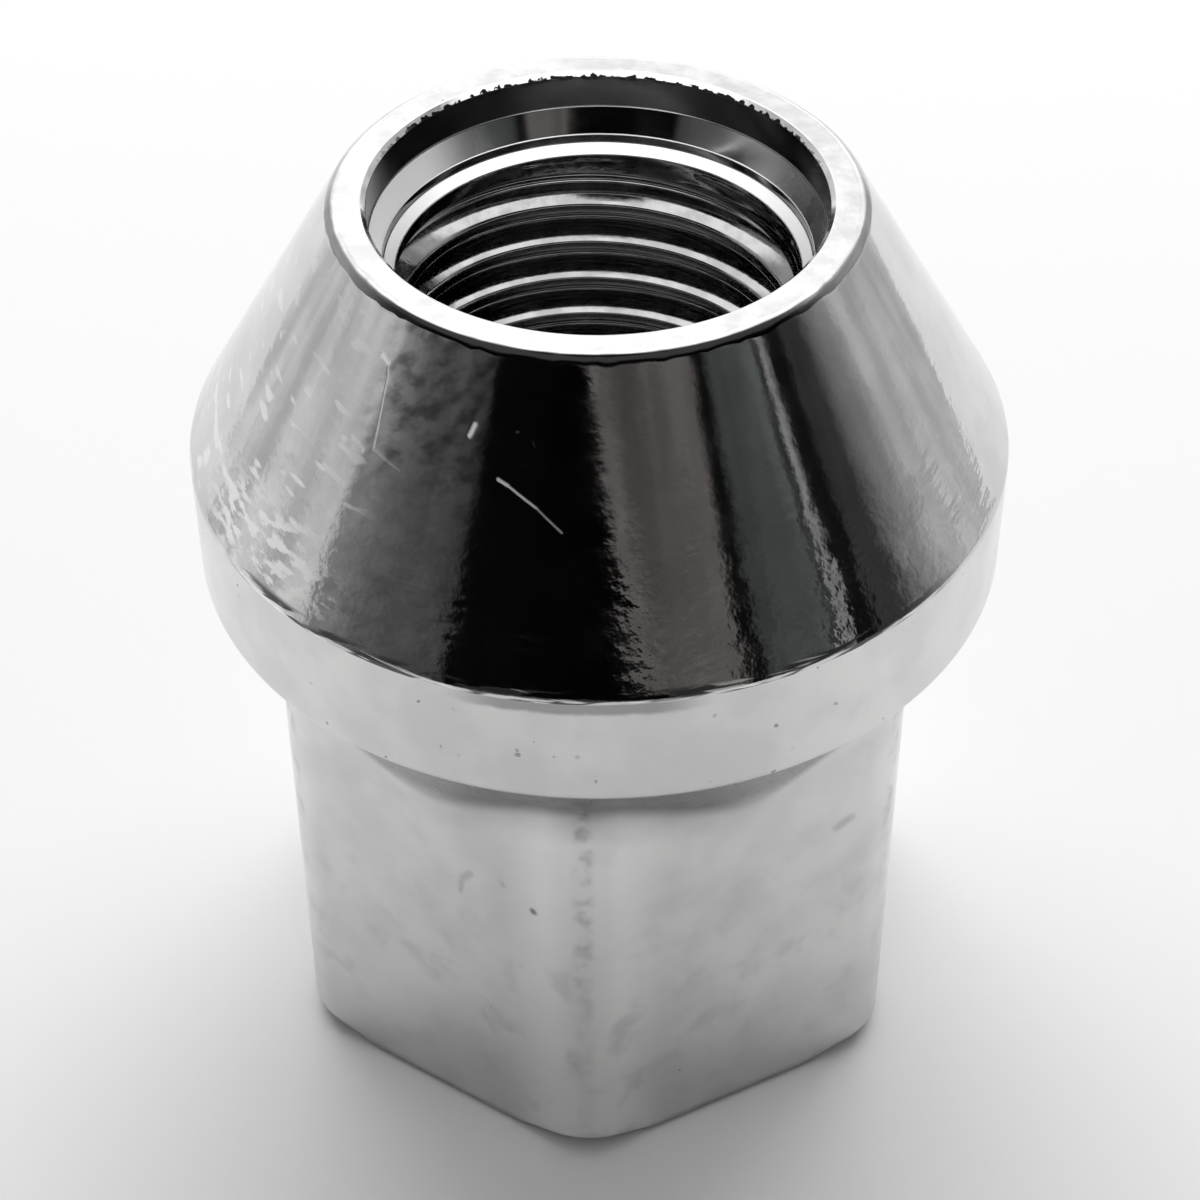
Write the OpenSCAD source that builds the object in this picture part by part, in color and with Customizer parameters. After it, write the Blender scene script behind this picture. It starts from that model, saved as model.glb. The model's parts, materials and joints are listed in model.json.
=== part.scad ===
// Closed wheel nut with a hexagon drive and a conical seat, standing on its
// hexagon end with the threaded mouth upwards. Millimetres, +Z along the thread.

/* [Thread] */
// Nominal diameter of the thread
thread_d = 14; // [12:0.5:15]
// Pitch of the thread
thread_pitch = 1.5; // [1:0.05:2]
// Length of the threaded wall, from the foot of the lead-in to the drill point
thread_l = 21; // [14:0.5:23]
// Included angle of the drill point at the bottom of the hole
drill_angle = 118; // [90:1:140]

/* [Mouth] */
// Height of the mouth's upper wall
upper_wall_h = 1.25; // [0.8:0.05:2]
// How far the upper wall closes in on its way down
upper_wall_taper = 0.08; // [0.04:0.01:0.2]
// Height of the mouth's lower wall
lower_wall_h = 0.85; // [0.5:0.05:1.5]
// How far the lower wall closes in on its way down
lower_wall_taper = 0.37; // [0.2:0.01:0.5]
// Height of the plain step under the lower wall
step_h = 0.3; // [0.1:0.05:0.6]
// Width of the shoulder under the step
shoulder_w = 0.3; // [0.15:0.05:0.5]
// Angle of the shoulder to the flat of the rim
shoulder_angle = 45; // [30:1:60]
// Height of the relief between the shoulder and the lead-in
relief_h = 0.75; // [0.3:0.05:1.5]
// How far the wall of the relief lies outside the crests of the thread
relief_gap = 0.36; // [0.2:0.02:0.6]
// Included angle of the lead-in to the thread
lead_angle = 60; // [50:1:120]

/* [Seat] */
// Included angle of the seat cone
seat_angle = 60; // [50:1:70]
// Outer diameter of the rim
rim_d = 16.8; // [16.2:0.1:19]
// Radius that breaks the outer edge of the rim
rim_edge_r = 0.45; // [0.1:0.05:0.5]

/* [Collar] */
// Diameter of the collar
collar_d = 27.1; // [25.5:0.1:30]
// Height of the collar's upright band
collar_h = 4.1; // [2:0.1:7]
// Height of the collar's lower edge above the hexagon end
collar_z = 19.8; // [16:0.1:26]
// Radius that breaks the edge between the collar and the seat cone
collar_edge_r = 0.55; // [0.1:0.05:1]
// Radius of the concave neck under the collar
neck_r = 9.4; // [6:0.2:12]
// How far the foot of the neck lies inside the flats
neck_set_in = 0.2; // [0.1:0.05:0.5]

/* [Hexagon] */
// Width across the flats
hex_flats = 21; // [19:0.25:22.5]
// Radius of the six upright corners
hex_corner_r = 2.2; // [0.6:0.1:3]
// Diameter at the hexagon end where the turned chamfer of the corners starts
end_face_d = 21.7; // [20:0.1:22.6]
// Angle of the turned chamfer to the end face
end_chamfer_angle = 30; // [15:1:45]

/* [Hidden] */
$fn = 96;

// Height of a sharp internal thread's crest above its nominal diameter, per unit of pitch
minor_per_pitch = 1.0825;
// Cutters run this far past the faces that they open
clear = 1;
// Angle at which a rounded edge meets the faces beside it
meet = 4;

bore_r = (thread_d - minor_per_pitch * thread_pitch) / 2;
relief_r = bore_r + relief_gap;
step_r = relief_r + shoulder_w;
ledge_r = step_r + lower_wall_taper;
mouth_r = ledge_r + upper_wall_taper;
rim_r = rim_d / 2;
collar_r = collar_d / 2;
flat_r = hex_flats / 2;

seat_half = seat_angle / 2;
collar_top_z = collar_z + collar_h;
rim_z = collar_top_z + (collar_r - rim_r) / tan(seat_half);

ledge_z = rim_z - upper_wall_h;
step_z = ledge_z - lower_wall_h;
shoulder_z = step_z - step_h;
relief_top_z = shoulder_z - shoulder_w * tan(shoulder_angle);
relief_foot_z = relief_top_z - relief_h;
lead_foot_z = relief_foot_z - relief_gap / tan(lead_angle / 2);
bore_end_z = lead_foot_z - thread_l;
drill_tip_z = bore_end_z - bore_r / tan(drill_angle / 2);

neck_foot_r = flat_r - neck_set_in;
neck_axis_r = neck_foot_r + neck_r;
neck_axis_z = collar_z - sqrt(pow(neck_r, 2) - pow(neck_axis_r - collar_r, 2));

hex_tip_r = flat_r / cos(30);
chamfer_top_z = (hex_tip_r - end_face_d / 2) * tan(end_chamfer_angle);

// What is taken off a profile to round one corner of it. The corner points out along
// the angle "out", and "half" is half of the angle between its two edges. The round
// crosses each edge at the small angle "meet" and does not just touch it.
module corner_waste(corner, out, half, r) {
    off_edge = r * cos(meet);
    axis = corner - off_edge / sin(half) * [cos(out), sin(out)];
    foot = off_edge / tan(half);
    difference() {
        polygon([
            corner - foot * [cos(out - half), sin(out - half)],
            corner + clear * [cos(out), sin(out)],
            corner - foot * [cos(out + half), sin(out + half)],
            axis
        ]);
        translate(axis)
            circle(r = r);
    }
}

// Cross-section of the hexagon, one corner towards -Y, all corners rounded
module hexagon_section() {
    difference() {
        rotate(-90)
            circle(r = hex_tip_r, $fn = 6);
        for (turn = [-90:60:210])
            corner_waste(hex_tip_r * [cos(turn), sin(turn)], turn, 60, hex_corner_r);
    }
}

// The wrench hexagon, with the corners of its end turned off at a flat angle
module hexagon_shank() {
    intersection() {
        linear_extrude(collar_z)
            hexagon_section();
        rotate_extrude()
            polygon([
                [0, 0],
                [end_face_d / 2, 0],
                [hex_tip_r, chamfer_top_z],
                [hex_tip_r, collar_z + clear],
                [0, collar_z + clear]
            ]);
    }
}

// Neck, collar and seat cone as one turned profile
module head() {
    rotate_extrude()
        difference() {
            polygon([
                [0, neck_axis_z],
                [collar_r, neck_axis_z],
                [collar_r, collar_top_z],
                [rim_r, rim_z],
                [0, rim_z]
            ]);
            translate([neck_axis_r, neck_axis_z])
                circle(r = neck_r);
            corner_waste([collar_r, collar_top_z], seat_half / 2, 90 - seat_half / 2, collar_edge_r);
            corner_waste([rim_r, rim_z], 45 + seat_half / 2, 45 + seat_half / 2, rim_edge_r);
        }
}

// Stepped mouth, lead-in and blind hole at the thread's minor diameter
module threaded_hole() {
    rotate_extrude()
        polygon([
            [0, drill_tip_z],
            [bore_r, bore_end_z],
            [bore_r, lead_foot_z],
            [relief_r, relief_foot_z],
            [relief_r, relief_top_z],
            [step_r, shoulder_z],
            [step_r, step_z],
            [ledge_r, ledge_z],
            [mouth_r, rim_z],
            [mouth_r + upper_wall_taper / upper_wall_h * clear, rim_z + clear],
            [0, rim_z + clear]
        ]);
}

module lug_nut() {
    color("silver")
        difference() {
            union() {
                hexagon_shank();
                head();
            }
            threaded_hole();
        }
}

lug_nut();
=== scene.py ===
"""Visual model of the lug nut: one plated steel piece on a pale studio floor.

Everything is in metres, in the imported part's own frame: the nut stands on its hexagon
end at the origin, and its thread runs along +Z with the mouth on top. An azimuth is an
angle round the nut, 0 at the front and positive to the right.
"""

import functools
import json
import logging
import math
from dataclasses import dataclass, field
from enum import IntEnum
from typing import Sequence

import bpy
from mathutils import Matrix, Vector, noise


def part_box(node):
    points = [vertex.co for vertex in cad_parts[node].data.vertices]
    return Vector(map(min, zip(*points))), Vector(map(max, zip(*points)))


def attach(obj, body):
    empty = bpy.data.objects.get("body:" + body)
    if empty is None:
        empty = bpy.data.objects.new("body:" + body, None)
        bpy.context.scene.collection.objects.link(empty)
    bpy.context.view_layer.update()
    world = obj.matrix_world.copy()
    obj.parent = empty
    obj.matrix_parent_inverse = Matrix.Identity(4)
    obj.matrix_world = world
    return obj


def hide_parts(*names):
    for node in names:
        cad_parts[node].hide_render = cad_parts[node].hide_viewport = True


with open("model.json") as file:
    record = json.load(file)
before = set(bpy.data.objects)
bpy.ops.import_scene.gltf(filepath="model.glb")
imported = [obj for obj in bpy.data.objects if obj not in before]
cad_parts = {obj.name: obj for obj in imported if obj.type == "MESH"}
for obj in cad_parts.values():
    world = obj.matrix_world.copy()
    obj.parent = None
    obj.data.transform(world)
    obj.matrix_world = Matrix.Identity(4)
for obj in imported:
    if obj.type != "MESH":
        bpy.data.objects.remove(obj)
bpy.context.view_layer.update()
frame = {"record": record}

MM = 0.001
MICRON = 0.001 * MM
NODE = "lug_nut"
# Height of the rim, in millimetres
RIM_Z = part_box(NODE)[1].z / MM
# The hexagon's sides, and the angle at the axis that each takes up
SIDES = 6
SECTOR = math.tau / SIDES
HALF_SECTOR = 0.5 * SECTOR
# Angles at the axis, counted from +X, of the front and the back
FRONT = math.radians(-90)
BACK = math.radians(90)
FULL_TURN_DEGREES = 360.0
# Corners that a face needs, and decimals at which two shares of a pitch are the same
FEWEST_CORNERS = 3
SHARE_DIGITS = 6
Point = tuple[float, float]
Span = tuple[float, ...]
Colour = tuple[float, float, float]
Socket = bpy.types.NodeSocket
Feed = Socket | float | Sequence[float]

log = logging.getLogger("lug_nut")


class Zone(IntEnum):
    """Stretches of the surface with a finish of their own, in the order of the slots."""

    HEXAGON = 0
    COLLAR = 1
    SEAT = 2
    RIM = 3
    MOUTH = 4
    STEP = 5
    THREAD = 6


Row = tuple[float, float, Zone]


def add_object(name: str, data: bpy.types.ID) -> bpy.types.Object:
    """Make an object and link it to the scene.

    Args:
        name: Name of the object.
        data: Mesh, lamp or camera that it shows.

    Returns:
        The new object.
    """
    made = bpy.data.objects.new(name, data)
    bpy.context.scene.collection.objects.link(made)
    return made


@dataclass(frozen=True)
class Arc:
    """Round stretch of an outline, as points of radius and height."""

    centre: Point
    radius: float
    first: float
    sweep: float

    def points(self, steps: int) -> list[Point]:
        """Give the arc's points, both ends included.

        Args:
            steps: Number of equal parts that the arc is cut into.

        Returns:
            Points of radius and height, from the first end to the last.
        """
        x, y = self.centre
        angles = [self.first + self.sweep * i / steps for i in range(steps + 1)]
        return [(x + self.radius * math.cos(a), y + self.radius * math.sin(a)) for a in angles]


def rounded_corner(before: Point, corner: Point, after: Point, radius: float) -> Arc:
    """Fit an arc into a corner between two straight edges.

    Args:
        before: Any point on the edge that comes to the corner.
        corner: The sharp corner.
        after: Any point on the edge that leaves the corner.
        radius: Radius of the arc.

    Returns:
        The arc that touches both edges, from the first edge to the second.
    """
    tip = Vector(corner)
    back = (Vector(before) - tip).normalized()
    onward = (Vector(after) - tip).normalized()
    half = back.angle(onward) / 2
    centre = tip + (back + onward).normalized() * radius / math.sin(half)
    reach = radius / math.tan(half)
    start = tip + back * reach - centre
    end = tip + onward * reach - centre
    first = math.atan2(start.y, start.x)
    sweep = math.remainder(math.atan2(end.y, end.x) - first, math.tau)
    return Arc((centre.x, centre.y), radius, first, sweep)


def corner_reach(before: Point, corner: Point, after: Point, radius: float) -> float:
    """Tell how far along its edges a rounded corner reaches."""
    tip = Vector(corner)
    return radius / math.tan((Vector(before) - tip).angle(Vector(after) - tip) / 2)


@dataclass
class Skin:
    """Vertices and faces of one closed mesh, each face with its zone."""

    vertices: list[Vector] = field(default_factory=list)
    faces: list[list[int]] = field(default_factory=list)
    zones: list[Zone] = field(default_factory=list)

    def vertex(self, angle: float, radius: float, height: float) -> int:
        """Add a vertex at an angle round the axis and return its number."""
        self.vertices.append(Vector((radius * math.cos(angle), radius * math.sin(angle), height)))
        return len(self.vertices) - 1

    def face(self, corners: Sequence[int], zone: Zone) -> None:
        """Add a face, leaving out corners that fall together.

        Args:
            corners: Vertex numbers, anticlockwise seen from outside the metal.
            zone: Stretch of the surface that the face belongs to.
        """
        kept = [one for one, following in zip(corners, [*corners[1:], corners[0]]) if one != following]
        if len(set(kept)) >= FEWEST_CORNERS:
            self.faces.append(kept)
            self.zones.append(zone)

    def strip(self, lower: Sequence[int], upper: Sequence[int], zone: Zone) -> None:
        """Join two closed rings of vertices by a band of faces.

        Args:
            lower: Vertex numbers of the first ring.
            upper: Vertex numbers of the second ring, as many.
            zone: Stretch of the surface that the faces belong to.
        """
        count = len(lower)
        for i in range(count):
            j = (i + 1) % count
            self.face([lower[i], lower[j], upper[j], upper[i]], zone)

    def build(self, name: str) -> bpy.types.Object:
        """Make a smooth-shaded Blender object of the skin.

        Args:
            name: Name of the object and of its mesh.

        Returns:
            The new object, linked to the scene.
        """
        mesh = bpy.data.meshes.new(name)
        mesh.from_pydata([tuple(v) for v in self.vertices], [], self.faces)
        mesh.polygons.foreach_set("use_smooth", [True] * len(self.faces))
        mesh.polygons.foreach_set("material_index", [int(z) for z in self.zones])
        mesh.validate()
        mesh.update()
        return add_object(name, mesh)


@dataclass(frozen=True)
class HexagonShank:
    """The wrench hexagon, one corner towards -Y, with its turned end."""

    flat_r: float = 10.5 * MM
    corner_r: float = 2.2 * MM
    end_r: float = 10.85 * MM
    chamfer_angle: float = math.radians(30)
    flat_edge_w: float = 0.14 * MM
    end_edge_r: float = 0.3 * MM
    chamfer_edge_r: float = 0.5 * MM
    corner_steps: int = 8
    flat_shares: Span = (0.008, 0.03, 0.07, *(0.13 + 0.0725 * i for i in range(13)))

    @property
    def centre_r(self) -> float:
        """Radius at which the centres of the corner rounds lie."""
        return (self.flat_r - self.corner_r) / math.cos(HALF_SECTOR)

    @property
    def tangent_angle(self) -> float:
        """Angle at the axis between a corner's middle and the end of its round."""
        out = self.centre_r + self.corner_r * math.cos(HALF_SECTOR)
        return math.atan2(self.corner_r * math.sin(HALF_SECTOR), out)

    def columns(self) -> list[float]:
        """Give the angles of the mesh's columns, close together round the corners.

        Returns:
            Angles at the axis in radians, rising through one full turn.
        """
        edge = self.tangent_angle
        flat = HALF_SECTOR - edge
        right = [edge + share * flat for share in self.flat_shares]
        left = [-angle for angle in reversed(right)]
        middle = [edge * (2 * i / self.corner_steps - 1) for i in range(self.corner_steps + 1)]
        sector = [*left[1:], *middle, *right]
        return [FRONT + SECTOR * side + angle for side in range(SIDES) for angle in sector]

    def radius(self, angle: float) -> float:
        """Give the hexagon's radius at an angle round the axis.

        Args:
            angle: Angle at the axis, in radians.

        Returns:
            Distance from the axis to the flat or to the rounded corner.
        """
        off = abs(math.remainder(angle - FRONT, SECTOR))
        if off >= self.tangent_angle:
            return self.flat_r / math.cos(HALF_SECTOR - off)
        across = self.centre_r * math.sin(off)
        return self.centre_r * math.cos(off) + math.sqrt(self.corner_r**2 - across**2)


@dataclass(frozen=True)
class Thread:
    """Right-hand metric thread in the blind hole.

    The crest and flank shares are of the pitch, the edge round is of a flank, and the plain share is
    of the run-out.
    """

    crest_r: float
    foot_z: float
    crest_z: float = 26.83 * MM
    pitch: float = 1.5 * MM
    crest_share: float = 0.25
    flank_share: float = 0.3125
    flank_angle: float = math.radians(30)
    edge_round: float = 0.15
    run_out: float = 1.2 * MM
    plain_share: float = 0.2
    lead_blend: float = 0.03 * MM
    lead_pitches: float = 3.0

    @property
    def depth(self) -> float:
        """Height of the thread from crest to root."""
        return self.pitch * self.flank_share / math.tan(self.flank_angle)

    @property
    def groove(self) -> float:
        """Share of the pitch at the middle of the groove."""
        return 0.5 * (1 + self.crest_share)

    def shares(self) -> list[float]:
        """Give the places in one pitch where the thread's form needs a row of vertices.

        Returns:
            Shares of the pitch from 0 to 1, with 0 at the foot of a crest.
        """
        near = self.edge_round * self.flank_share
        root = self.crest_share + self.flank_share
        half = [
            0.5 * self.crest_share,
            self.crest_share - near,
            self.crest_share,
            self.crest_share + near,
            self.crest_share + 0.5 * self.flank_share,
            root - near,
            root,
            root + near,
        ]
        mirrored = [2 * self.groove - share for share in half[1:]]
        return sorted({round(share % 1.0, SHARE_DIGITS) for share in [*half, *mirrored]})

    def radius(self, share: float, fade: float) -> float:
        """Give the thread's radius at a share of its pitch.

        Args:
            share: Place in the pitch, from 0 at the foot of a crest to 1.
            fade: From 0, where the groove has run out, to 1, where it is whole.

        Returns:
            Distance from the axis to the thread's surface.
        """
        off = abs(math.remainder(share - self.groove, 1.0))
        into = (0.5 * (1 - self.crest_share) - off) / self.flank_share
        rise = self._eased(into) - self._eased(into - 1)
        return self.crest_r + self.depth * fade * rise

    def fade(self, height: float) -> float:
        """Tell how deep the groove is cut at a height, from 0 near the hole's foot to 1."""
        return min(max((height - self.foot_z) / self.run_out - self.plain_share, 0.0), 1.0)

    def _eased(self, way: float) -> float:
        """Give a way where it is positive and 0 elsewhere, with a round change between.

        Args:
            way: Way up a flank, as a share of its width.

        Returns:
            The eased way.
        """
        bend = self.edge_round
        if abs(way) >= bend:
            return max(way, 0.0)
        return (way + bend) ** 2 / (4 * bend)


@dataclass(frozen=True)
class Nicks:
    """Small bites along a turned edge, coarse and fine ones, deepest towards one side of the nut."""

    depth: float
    pace: float
    middle: float
    least: float
    seed: float
    fine_pace: float = 2.2
    fine_share: float = 0.5
    start: float = 0.25

    def bite(self, angle: float) -> float:
        """Give how far the edge is eaten away at an angle round the axis.

        Args:
            angle: Angle at the axis, in radians.

        Returns:
            Depth of the bite, from 0 to the full depth.
        """
        way = Vector((math.cos(angle), math.sin(angle), 0.0))
        seeded = Vector((0.0, 0.0, self.seed))
        coarse = noise.noise(way * self.pace + seeded)
        fine = noise.noise(way * self.pace * self.fine_pace + seeded)
        near = max(0.0, math.cos(angle - self.middle))
        share = self.least + (1 - self.least) * near
        eaten = self.start + coarse + self.fine_share * fine
        return self.depth * share * min(max(0.0, eaten), 1.0)


@dataclass(frozen=True)
class Head:
    """Neck, collar, seat cone, rim and mouth recess, all turned about the axis; depths are below the rim."""

    collar_r: float
    rim_z: float
    collar_z: float = 19.8 * MM
    collar_h: float = 4.1 * MM
    neck_r: float = 9.4 * MM
    neck_axis_r: float = 19.7 * MM
    neck_blend_r: float = 5.0 * MM
    collar_foot_r: float = 0.2 * MM
    collar_edge_r: float = 0.4 * MM
    rim_r: float = 8.4 * MM
    rim_edge_r: float = 0.38 * MM
    mouth_r: float = 7.25 * MM
    mouth_edge_w: float = 0.15 * MM
    ledge_depth: float = 1.25 * MM
    ledge_r: float = 7.24 * MM
    ledge_w: float = 0.022 * MM
    ledge_drop: float = 0.011 * MM
    recess_r: float = 6.855 * MM
    recess_depth: float = 2.10 * MM
    brink_drop: float = 0.0175 * MM
    step_r: float = 6.83 * MM
    step_taper: float = 0.01 * MM
    step_depth: float = 2.40 * MM
    shoulder_r: float = 6.47 * MM
    shoulder_depth: float = 2.68 * MM
    relief_r: float = 6.46 * MM
    relief_depth: float = 3.45 * MM
    relief_top_h: float = 0.2 * MM
    lead_angle: float = math.radians(72)
    rim_nicks: Nicks = Nicks(depth=0.24 * MM, pace=12.0, middle=FRONT, least=0.3, seed=8.2)

    @property
    def shoulder_z(self) -> float:
        """Height of the shoulder's foot, where the relief starts."""
        return self.rim_z - self.shoulder_depth

    @property
    def winding_z(self) -> float:
        """Height in the relief up to which the thread's rows are wound."""
        return self.shoulder_z - self.relief_top_h

    @property
    def neck_axis_z(self) -> float:
        """Height of the centre that the neck's hollow is struck from."""
        return self.collar_z - math.sqrt(self.neck_r**2 - (self.neck_axis_r - self.collar_r) ** 2)

    def lead_radius(self, height: float) -> float:
        """Give the radius of the relief and the lead-in cone below it.

        Args:
            height: Height above the hexagon end.

        Returns:
            Distance from the axis to the wall.
        """
        relief_z = self.rim_z - self.relief_depth
        if height >= relief_z:
            share = (height - relief_z) / (self.shoulder_z - relief_z)
            return self.relief_r + share * (self.shoulder_r - self.relief_r)
        return self.relief_r - (relief_z - height) / math.tan(self.lead_angle)

    def neck_arcs(self, wall_r: float) -> tuple[Arc, Arc, Arc]:
        """Fit the neck between an upright wall and the collar.

        Args:
            wall_r: Radius of the hexagon's wall below the neck.

        Returns:
            The blend from the wall, the hollow itself and the round of the collar's foot.
        """
        axis = Vector((self.neck_axis_r, self.neck_axis_z))
        rise = (self.neck_r - self.neck_blend_r) ** 2
        rise -= (self.neck_axis_r - wall_r - self.neck_blend_r) ** 2
        blend = Vector((wall_r + self.neck_blend_r, self.neck_axis_z + math.sqrt(rise)))
        off = blend - axis
        lower = math.atan2(off.y, off.x)
        reach = (self.neck_r + self.collar_foot_r) ** 2
        reach -= (self.neck_axis_r - self.collar_r + self.collar_foot_r) ** 2
        foot = Vector((self.collar_r - self.collar_foot_r, self.neck_axis_z + math.sqrt(reach)))
        off = foot - axis
        upper = math.atan2(off.y, off.x)
        return (
            Arc(tuple(blend), self.neck_blend_r, math.pi, lower - math.pi),
            Arc(tuple(axis), self.neck_r, lower, upper - lower),
            Arc(tuple(foot), self.collar_foot_r, upper - math.pi, math.pi - upper),
        )


@dataclass
class LugNut:
    """The whole nut as one closed skin.

    Steps are the parts that a round is cut into, and shares are the places of rows along a straight stretch.
    """

    shank: HexagonShank
    head: Head
    thread: Thread
    drill_angle: float = math.radians(118)
    edge_room: float = 0.98
    end_edge_steps: int = 3
    chamfer_edge_steps: int = 5
    blend_steps: int = 6
    hollow_steps: int = 10
    foot_steps: int = 5
    collar_edge_steps: int = 5
    rim_edge_steps: int = 6
    end_shares: Span = (0.4, 0.75, 0.93, 0.99)
    chamfer_shares: Span = (0.5,)
    wall_shares: Span = (0.01, 0.05, *(0.1 + 0.1 * i for i in range(9)), 0.95, 0.99)
    band_shares: Span = (0.03, 0.12, 0.3, 0.5, 0.7, 0.88, 0.97)
    cone_shares: Span = (0.01, 0.04, *(0.1 + 0.08 * i for i in range(11)), 0.96, 0.99)
    rim_shares: Span = (0.06, 0.3, 0.5, 0.7, 0.94)
    mouth_edge_shares: Span = (0.0, 0.06, 0.5, 0.94)
    bevel_shares: Span = (0.0, 0.2, 0.8, 1.0)
    step_shares: Span = (0.1, 0.5, 0.9, 1.0)
    shoulder_shares: Span = (0.08, 0.3, 0.5, 0.7, 0.92, 1.0)
    relief_shares: Span = (0.15, 0.5, 1.0)

    def meridian(self, angle: float) -> list[Row]:
        """Draw the nut's half outline at one angle, from the end face to the relief.

        Args:
            angle: Angle round the axis, in radians.

        Returns:
            Rows of radius, height and zone, as many at every angle.
        """
        shank, head = self.shank, self.head
        wall_r = shank.radius(angle)
        end_r = min(shank.end_r, wall_r - shank.flat_edge_w)
        end = (end_r, 0.0)
        shoulder = (wall_r, (wall_r - end_r) * math.tan(shank.chamfer_angle))
        top = (wall_r, head.collar_z)
        room = (Vector(shoulder) - Vector(end)).length
        wanted = corner_reach((0.0, 0.0), end, shoulder, shank.end_edge_r)
        wanted += corner_reach(end, shoulder, top, shank.chamfer_edge_r)
        ease = min(1.0, self.edge_room * room / wanted)
        end_edge = rounded_corner((0.0, 0.0), end, shoulder, shank.end_edge_r * ease)
        chamfer_edge = rounded_corner(end, shoulder, top, shank.chamfer_edge_r * ease)
        blend, hollow, foot = head.neck_arcs(wall_r)

        rim_z = head.rim_z
        collar_top = (head.collar_r, head.collar_z + head.collar_h)
        rim = (head.rim_r, rim_z)
        mouth = (head.mouth_r + head.mouth_edge_w, rim_z)
        mouth_wall = (head.mouth_r, rim_z - head.mouth_edge_w)
        wall_foot = (head.ledge_r, rim_z - head.ledge_depth)
        ledge = (head.ledge_r - head.ledge_w, rim_z - head.ledge_depth - head.ledge_drop)
        recess = (head.recess_r, rim_z - head.recess_depth)
        brink = (head.step_r, rim_z - head.recess_depth - head.brink_drop)
        step = (head.step_r - head.step_taper, rim_z - head.step_depth)
        shoulder_foot = (head.shoulder_r, head.shoulder_z)
        winding = (head.lead_radius(head.winding_z), head.winding_z)
        collar_edge = rounded_corner((head.collar_r, 0.0), collar_top, rim, head.collar_edge_r)
        rim_edge = rounded_corner(collar_top, rim, mouth, head.rim_edge_r + head.rim_nicks.bite(angle))

        rows: list[Row] = []

        def arc(shape: Arc, steps: int, zone: Zone) -> None:
            """Add an arc's points to the rows."""
            rows.extend((r, z, zone) for r, z in shape.points(steps))

        def line(start: Point, stop: Point, shares: Span, zone: Zone) -> None:
            """Add points at shares of the way between two places to the rows."""
            for s in shares:
                rows.append((start[0] + s * (stop[0] - start[0]), start[1] + s * (stop[1] - start[1]), zone))

        line((0.0, 0.0), end_edge.points(1)[0], self.end_shares, Zone.HEXAGON)
        arc(end_edge, self.end_edge_steps, Zone.HEXAGON)
        line(end_edge.points(1)[1], chamfer_edge.points(1)[0], self.chamfer_shares, Zone.HEXAGON)
        arc(chamfer_edge, self.chamfer_edge_steps, Zone.HEXAGON)
        line(chamfer_edge.points(1)[1], blend.points(1)[0], self.wall_shares, Zone.HEXAGON)
        arc(blend, self.blend_steps, Zone.HEXAGON)
        rows.extend((r, z, Zone.HEXAGON) for r, z in hollow.points(self.hollow_steps)[1:-1])
        arc(foot, self.foot_steps, Zone.COLLAR)
        line(foot.points(1)[1], collar_edge.points(1)[0], self.band_shares, Zone.COLLAR)
        arc(collar_edge, self.collar_edge_steps, Zone.SEAT)
        line(collar_edge.points(1)[1], rim_edge.points(1)[0], self.cone_shares, Zone.SEAT)
        arc(rim_edge, self.rim_edge_steps, Zone.RIM)
        line(rim_edge.points(1)[1], mouth, self.rim_shares, Zone.RIM)
        line(mouth, mouth_wall, self.mouth_edge_shares, Zone.RIM)
        line(mouth_wall, wall_foot, (0.0, *self.band_shares), Zone.MOUTH)
        line(wall_foot, ledge, self.bevel_shares, Zone.MOUTH)
        line(ledge, recess, self.band_shares, Zone.STEP)
        line(recess, brink, self.bevel_shares, Zone.STEP)
        line(brink, step, self.step_shares, Zone.STEP)
        line(step, shoulder_foot, self.shoulder_shares, Zone.STEP)
        line(shoulder_foot, winding, self.relief_shares, Zone.THREAD)
        return rows

    def skin(self) -> Skin:
        """Make the closed skin: turned and hexagonal outside, threaded hole inside.

        Returns:
            The skin, with its zones.
        """
        skin = Skin()
        columns = self.shank.columns()
        outlines = [self.meridian(a) for a in columns]
        rings = [
            [skin.vertex(a, outlines[i][row][0], outlines[i][row][1]) for i, a in enumerate(columns)]
            for row in range(len(outlines[0]))
        ]
        centre = skin.vertex(0.0, 0.0, 0.0)
        skin.strip([centre] * len(columns), rings[0], Zone.HEXAGON)
        for row in range(len(rings) - 1):
            skin.strip(rings[row], rings[row + 1], outlines[0][row][2])
        foot = self._threaded_wall(skin, columns, rings[-1])
        tip_z = self.thread.foot_z - self.thread.crest_r / math.tan(self.drill_angle / 2)
        tip = skin.vertex(0.0, 0.0, tip_z)
        skin.strip(foot, [tip] * len(columns), Zone.THREAD)
        return skin

    def _threaded_wall(self, skin: Skin, columns: Sequence[float], mouth: Sequence[int]) -> list[int]:
        """Wind the thread from the bottom of the hole up into the relief.

        Args:
            skin: Skin that the thread is added to.
            columns: Angles of the mesh's columns.
            mouth: Ring of vertices in the relief.

        Returns:
            Ring of vertices at the bottom of the threaded wall.
        """
        head, thread = self.head, self.thread
        low, high = thread.foot_z, head.winding_z
        floor = [skin.vertex(a, thread.crest_r, low) for a in columns]
        lead_z = high - thread.lead_pitches * thread.pitch
        back_share = (BACK - columns[0]) / math.tau
        start = thread.crest_z - thread.pitch * (back_share + thread.crest_share)
        start -= thread.pitch * math.ceil((start - low) / thread.pitch + 1)
        shares = thread.shares()
        made: dict[tuple[int, int, int], int] = {}

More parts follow.
